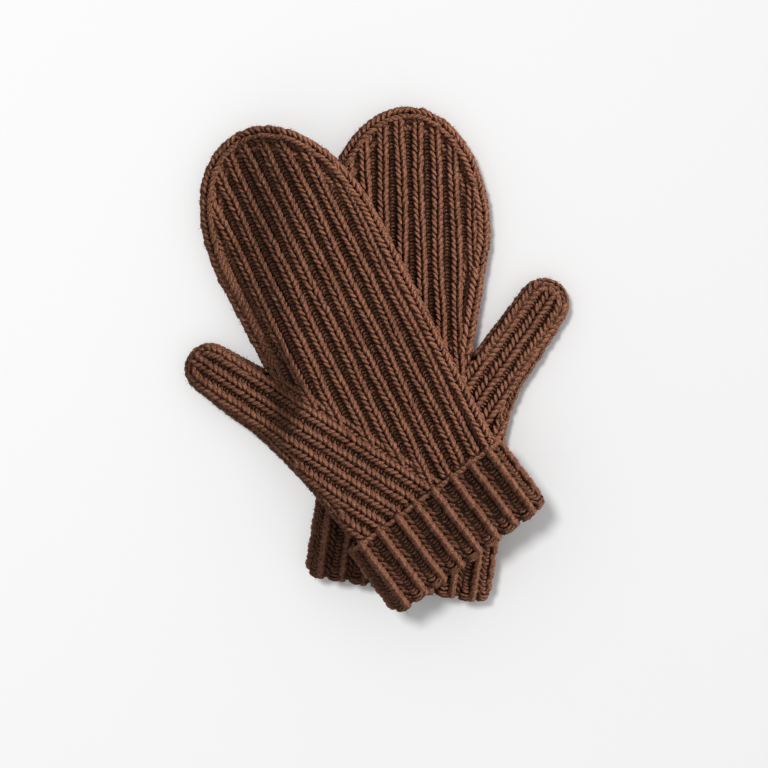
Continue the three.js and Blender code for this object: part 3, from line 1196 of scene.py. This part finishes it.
def sleeve_columns(mitten, width, thick, shift, path, size=EVEN):
    """Columns round a cuff or wrist; shift is 0 for its ribs and 0.5 for the troughs."""
    count = settings().cuff_ribs
    columns = []
    for k in range(count):
        column = Column()
        for depth, y, tilt in path:
            place, normal = on_sleeve(mitten, width, thick, (k + shift) / count, depth, y, tilt)
            column.add(place, normal, size)
        columns.append(column)
    return columns


AROUND = 72  # points of anything that goes once round a cuff or wrist
EDGE_AT = -1.2  # where the cord that finishes the cuff's edge lies along the mitten
EDGE_DEPTH = 2.5
EDGE_TILT = -0.5  # its stitches are tilted this much, in radians, over the edge
CUFF_TROUGH_DEPTH = 2.3
FOLD_SINK = 0.6
FOLD_ROWS = 0.55  # height of a row round the fold, as a share of a knit row
FOLD_GAP_ROWS = 0.44


def cuff(mitten, name):
    """The outer face of the cuff, its fold and the cord along its edge."""
    wool = material("cuff_yarn")

    def columns(shift, path, size=EVEN):
        return sleeve_columns(mitten, CUFF_WIDTH, CUFF_THICK, shift, path, size)

    ribs = columns(0.0, cuff_face(YARN_DEPTH))
    gaps = columns(0.5, cuff_face(YARN_DEPTH + CUFF_TROUGH_DEPTH), size=(1.2, 1.1, 1))
    fold = columns(0.0, cuff_fold(YARN_DEPTH + FOLD_SINK), size=(1, FOLD_ROWS, 0.8))
    fold_gaps = columns(0.5, cuff_fold(YARN_DEPTH), size=(1.6, 0.9, 0.9))
    edge = Column()
    for k in range(AROUND + 1):
        place = (CUFF_WIDTH, CUFF_THICK, k / AROUND, EDGE_DEPTH, EDGE_AT, EDGE_TILT)
        edge.add(*on_sleeve(mitten, *place))
    meshes = [
        knit_mesh(name, ribs, "cuff", wool, seed=51),
        knit_mesh(name + "_gaps", gaps, "purl", wool, 52, PURL_ROWS),
        knit_mesh(name + "_edge", [edge], "cord", wool, seed=53),
        knit_mesh(name + "_fold", fold, "cuff", wool, 54, FOLD_ROWS),
        knit_mesh(name + "_fold_gaps", fold_gaps, "purl", wool, 55, FOLD_GAP_ROWS),
    ]
    return piece(name, meshes)


WRIST_RIB_DEPTH = 1.7
WRIST_GAP_DEPTH = 3.4


def wrist_path(depth):
    """Depth, height and tilt from the wrist's mouth up to the hand."""
    path = []
    y = -0.5
    while y > FOLD_AT:
        path.append((depth, y, 0.0))
        y -= STEP
    return list(reversed(path))


def wrist(mitten, name):
    """The ribbing of the wrist, which an unrolled cuff lays bare."""
    wool = material("ribbed_yarn")
    sleeve = (mitten, WRIST_WIDTH, WRIST_THICK)
    ribs = sleeve_columns(*sleeve, 0.0, wrist_path(WRIST_RIB_DEPTH))
    gaps = sleeve_columns(*sleeve, 0.5, wrist_path(WRIST_GAP_DEPTH))
    meshes = [
        knit_mesh(name, ribs, "hand", wool, seed=61),
        knit_mesh(name + "_gaps", gaps, "purl", wool, 62, PURL_ROWS),
    ]
    return piece(name, meshes)


# ---- the ground under the yarn ----

GRID = 2.5  # spacing of the ground's points
GRID_REACH = 135.0  # how far the grid reaches to either side of the wrist's centre
GRID_BELOW = 5.0  # and below it
GROUND_THICK = 0.5
GROUND_UNDER_CUFF = 3.0  # how far the hand's ground runs on past the cuff's upper edge
LEAST_INSET = 0.3  # points nearer than this to where the two faces meet are left out
EDGE_REACH = 5.5  # how far in from there a rim point may be, to be moved out to it
LEAST_HALF = 0.2
HAND_GROUND_SINK = 0.25  # the hand's ground passes under the thumb's where they overlap
SEAM_OVERLAP = 4.0  # how far it runs on past the gusset's seam
WRIST_TOP = 0.5  # where the wrist's ground starts, just above the cuff's edge
WRIST_INSIDE = 3.5
LIP_DEPTH = 0.4  # how near the wrist's outside its lip comes
LIP_THICK = 0.5


def felted(mesh):
    """Gives a ground's mesh its material."""
    mesh.materials.clear()
    mesh.materials.append(material("felted_ground"))
    mesh.polygons.foreach_set("use_smooth", [True] * len(mesh.polygons))
    return mesh


def thickened(name, bm, thick):
    """A closed sheet from the open one in bm, thickened inwards."""
    mesh = bpy.data.meshes.new(name)
    bm.to_mesh(mesh)
    bm.free()
    obj = in_scene(name, mesh)
    modifier = obj.modifiers.new("Thickness", "SOLIDIFY")
    modifier.thickness = thick * MM
    modifier.offset = -1
    result = evaluated(obj)
    bpy.data.objects.remove(obj)
    return felted(result)


def grid_cell(i, j):
    """The corners of one cell of the ground's grid, in order round it."""
    return (i, j), (i + 1, j), (i + 1, j + 1), (i, j + 1)


def ground(mitten, name, wanted, depth):
    """A hollow ground over the part of the mitten where wanted is positive, open at its cuts."""
    kept = {}
    for i, x in enumerate(np.arange(-GRID_REACH, GRID_REACH, GRID)):
        for j, y in enumerate(np.arange(-GRID_BELOW, HAND_LENGTH, GRID)):
            inset, away = mitten.whole.inset(x, y)
            cut = min(wanted(x, y), mitten.above_cuff(x, y) + GROUND_UNDER_CUFF)
            if inset > depth + LEAST_INSET and cut > 0:
                kept[i, j] = (x, y, inset, away)
    cells = [c for c in kept if all(n in kept for n in grid_cell(*c))]
    used = {}
    for c in cells:
        for n in grid_cell(*c):
            used[n] = used.get(n, 0) + 1
    bm = bmesh.new()
    corners = {}
    for n, cell_count in used.items():
        x, y, inset, away = kept[n]
        if cell_count < 4 and inset < depth + EDGE_REACH:
            x, y = x + away[0] * (inset - depth), y + away[1] * (inset - depth)
            edge = bm.verts.new(mitten.world(x, y, mitten.level(x, y)))
            corners[n] = (edge, edge)
            continue
        slant = max(HALF_THICK - inset, 0.0)
        half = max(math.sqrt(max((HALF_THICK - depth) ** 2 - slant**2, 0.0)), LEAST_HALF)
        level = mitten.level(x, y)
        corners[n] = tuple(bm.verts.new(mitten.world(x, y, level + f * half)) for f in (1, -1))
    for c in cells:
        ring = grid_cell(*c)
        flat = all(corners[n][0] is corners[n][1] for n in ring)
        bm.faces.new([corners[n][0] for n in ring])
        if not flat:
            bm.faces.new([corners[n][1] for n in reversed(ring)])
    return thickened(name, bm, GROUND_THICK)


def tube_ground(mitten, name, width, thick, path):
    """A closed ground round the cuff or wrist, along a closed path of depths and heights."""
    bm = bmesh.new()
    rings = []
    for depth, y, _tilt in path:
        places = [on_sleeve(mitten, width, thick, k / AROUND, depth, y)[0] for k in range(AROUND)]
        rings.append([bm.verts.new(place) for place in places])
    for upper, lower in zip(rings, [*rings[1:], rings[0]]):
        for k in range(AROUND):
            m = (k + 1) % AROUND
            bm.faces.new((upper[k], upper[m], lower[m], lower[k]))
    mesh = bpy.data.meshes.new(name)
    bmesh.ops.recalc_face_normals(bm, faces=bm.faces)
    bm.to_mesh(mesh)
    bm.free()
    return felted(mesh)


def hand_ground(mitten, name):
    """The ground of the hand and of the wrist under the cuff.

    The wrist's part ends in a lip, which closes the space between it and an unrolled cuff as a dark
    wall of painted shade.
    """
    depth = GROUND_DEPTH + HAND_GROUND_SINK
    sheet = ground(mitten, name, lambda x, y: SEAM_OVERLAP - mitten.beyond_seam(x, y), depth)
    outside = [(GROUND_DEPTH, WRIST_TOP, 0), (GROUND_DEPTH, FOLD_AT + LIP_THICK, 0)]
    # The lip is in the ground's dark colour, painted shade, so that the slit reads as shaded depth.
    lip = [(LIP_DEPTH, FOLD_AT + LIP_THICK, 0), (LIP_DEPTH, FOLD_AT, 0)]
    inside = [(WRIST_INSIDE, FOLD_AT, 0), (WRIST_INSIDE, WRIST_TOP, 0)]
    path = [*outside, *lip, *inside]
    return piece(name, [sheet, tube_ground(mitten, name + "_wrist", WRIST_WIDTH, WRIST_THICK, path)])


def thumb_ground(mitten, name):
    return piece(name, [ground(mitten, name, mitten.beyond_seam, GROUND_DEPTH)])


def cuff_ground(mitten, name):
    top, low = -STEP, FOLD_AT + 2
    inner = FOLD_ROUND - 0.1
    outside = [(GROUND_DEPTH, top, 0.0), (GROUND_DEPTH, low, 0.0)]
    inside = [(inner, low, 0.0), (inner, top, 0.0)]
    path = [*outside, *cuff_fold(GROUND_DEPTH)[1:-1], *inside]
    return piece(name, [tube_ground(mitten, name, CUFF_WIDTH, CUFF_THICK, path)])


# ---- how each piece belongs to the frame ----


BEND_REACH = 12  # how far a bend would reach to either side of the hinge, in millimetres; no bend is made


def bend_with_thumb(obj, mitten):
    """Bakes the piece's place into its mesh; the thumb is not bent where it joins the hand."""
    way = mitten.world_way(*mitten.along, 0) * BEND_REACH * MM
    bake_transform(obj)


class KnitOperator:
    """What the operators that make pieces share."""

    bl_options = {"REGISTER", "UNDO"}

    def execute(self, context):
        for mitten in MITTENS:
            self.make(mitten)
        return {"FINISHED"}


class MITTENS_OT_panels(KnitOperator, bpy.types.Operator):
    """Knit the front and back panels of both hands"""

    bl_idname = "mittens.panels"
    bl_label = "Front and back panels"

    def make(self, mitten):
        for face, section in ((1, "front"), (-1, "back")):
            obj = fuzzy(panel(mitten, face, f"{mitten.name}_{section}_ribs"), 71)
            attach(obj, mitten.name)
            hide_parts(f"{mitten.name}_{section}_panel")


class MITTENS_OT_edge_bands(KnitOperator, bpy.types.Operator):
    """Knit the bands that run round the edges of both hands"""

    bl_idname = "mittens.edge_bands"
    bl_label = "Edge bands"

    def make(self, mitten):
        obj = fuzzy(edge_band(mitten, f"{mitten.name}_band_knit"), 72)
        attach(obj, mitten.name)
        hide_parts(f"{mitten.name}_edge_band")


class MITTENS_OT_thumbs(KnitOperator, bpy.types.Operator):
    """Knit both thumbs with their gussets"""

    bl_idname = "mittens.thumbs"
    bl_label = "Thumbs and gussets"

    def make(self, mitten):
        obj = fuzzy(thumb(mitten, f"{mitten.name}_thumb_knit"), 73)
        bend_with_thumb(obj, mitten)
        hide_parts(f"{mitten.name}_thumb", f"{mitten.name}_thumb_gusset")


class MITTENS_OT_cuffs(KnitOperator, bpy.types.Operator):
    """Knit both turned-up cuffs"""

    bl_idname = "mittens.cuffs"
    bl_label = "Turned-up cuffs"

    def make(self, mitten):
        obj = fuzzy(cuff(mitten, f"{mitten.name}_cuff_knit"), 74)
        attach(obj, mitten.name.replace("mitten", "cuff"))
        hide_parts(f"{mitten.name}_turned_up_cuff")


class MITTENS_OT_wrists(KnitOperator, bpy.types.Operator):
    """Knit the wrist ribbing under both cuffs"""

    bl_idname = "mittens.wrists"
    bl_label = "Wrist ribbing"

    def make(self, mitten):
        obj = wrist(mitten, f"{mitten.name}_wrist_knit")
        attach(obj, mitten.name)
        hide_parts(f"{mitten.name}_wrist_ribbing")


class MITTENS_OT_grounds(KnitOperator, bpy.types.Operator):
    """Make the felted ground under the stitches of every section"""

    bl_idname = "mittens.grounds"
    bl_label = "Ground under the stitches"

    def make(self, mitten):
        hand = hand_ground(mitten, f"{mitten.name}_hand_ground")
        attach(hand, mitten.name)
        inside = thumb_ground(mitten, f"{mitten.name}_thumb_ground")
        bend_with_thumb(inside, mitten)
        under = cuff_ground(mitten, f"{mitten.name}_cuff_ground")
        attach(under, mitten.name.replace("mitten", "cuff"))


# ---- the stage ----

VIEW_CENTRE = Vector((3.95 * MM, -14.0 * MM, 20 * MM))
VIEW_WIDTH = 427 * MM
LENS = 85.0
SENSOR = 36.0
FLOOR_SIZE = 40.0
FLOOR_LEVEL = -0.4 * MM
SKY_STRENGTH = 0.55


def floor_material(color):
    s = Shader("floor")
    s.put(s.surface.inputs["Base Color"], (*color, 1.0))
    s.put(s.surface.inputs["Roughness"], 0.9)
    s.put(s.surface.inputs["Specular IOR Level"], 0.1)
    return s.material


def lamp(name, place, size, power, tint):
    data = bpy.data.lights.new(name, "AREA")
    data.shape = "DISK"
    data.size = size
    data.energy = power
    data.color = tint
    obj = in_scene(name, data)
    obj.location = place
    obj.rotation_euler = (VIEW_CENTRE - obj.location).to_track_quat("-Z", "Y").to_euler()
    return obj


def light_only(light, name, things):
    """Lets a lamp light these objects and no others."""
    group = bpy.data.collections.new(name)
    for obj in things:
        group.objects.link(obj)
    light.light_linking.receiver_collection = group


class MITTENS_OT_stage(bpy.types.Operator):
    """Set up the floor, the lights and the camera"""

    bl_idname = "mittens.stage"
    bl_label = "Floor, lights and camera"
    bl_options = {"REGISTER", "UNDO"}

    def execute(self, context):
        scene = context.scene
        mittens = [obj for obj in scene.objects if obj.type == "MESH"]
        bpy.ops.mesh.primitive_plane_add(size=FLOOR_SIZE, location=(0, 0, FLOOR_LEVEL))
        floor = context.object
        floor.name = "floor"
        floor.data.materials.append(floor_material(settings().floor_color))
        world = bpy.data.worlds.new("studio")
        world.use_nodes = True
        sky = world.node_tree.nodes["Background"].inputs
        sky["Color"].default_value = (1, 1, 1, 1)
        sky["Strength"].default_value = SKY_STRENGTH
        scene.world = world
        key = lamp("key", place=(-0.75, 0.75, 2.9), size=0.6, power=50, tint=(1, 1, 1))
        light_only(key, "lit_from_above", [floor])
        side = lamp("side", place=(1.15, 0.6, 0.8), size=0.45, power=37, tint=(1, 0.96, 0.92))
        light_only(side, "lit_from_the_side", mittens)
        camera = in_scene("camera", bpy.data.cameras.new("camera"))
        camera.data.lens = LENS
        camera.data.sensor_width = SENSOR
        camera.location = VIEW_CENTRE + Vector((0, 0, VIEW_WIDTH * LENS / SENSOR))
        scene.camera = camera
        scene.view_settings.view_transform = "Standard"
        return {"FINISHED"}


class MITTENS_PT_panel(bpy.types.Panel):
    """Sizes and colours of the mittens, and buttons that make their pieces"""

    bl_idname = "MITTENS_PT_panel"
    bl_label = "Rib-knit mittens"
    bl_space_type = "VIEW_3D"
    bl_region_type = "UI"
    bl_category = "Mittens"

    def draw(self, context):
        layout = self.layout
        for name in MittenSettings.__annotations__:
            layout.prop(context.scene.mitten_settings, name)
        for operator in OPERATORS:
            layout.operator(operator.bl_idname)


OPERATORS = (
    MITTENS_OT_grounds,
    MITTENS_OT_panels,
    MITTENS_OT_edge_bands,
    MITTENS_OT_thumbs,
    MITTENS_OT_cuffs,
    MITTENS_OT_wrists,
    MITTENS_OT_stage,
)
CLASSES = (MittenSettings, *OPERATORS, MITTENS_PT_panel)


def register():
    for cls in CLASSES:
        bpy.utils.register_class(cls)
    bpy.types.Scene.mitten_settings = bpy.props.PointerProperty(type=MittenSettings)


def unregister():
    del bpy.types.Scene.mitten_settings
    for cls in reversed(CLASSES):
        bpy.utils.unregister_class(cls)


def main():
    register()
    bpy.ops.mittens.grounds()
    bpy.ops.mittens.panels()
    bpy.ops.mittens.edge_bands()
    bpy.ops.mittens.thumbs()
    bpy.ops.mittens.cuffs()
    bpy.ops.mittens.wrists()
    bpy.ops.mittens.stage()


if __name__ == "__main__":
    main()
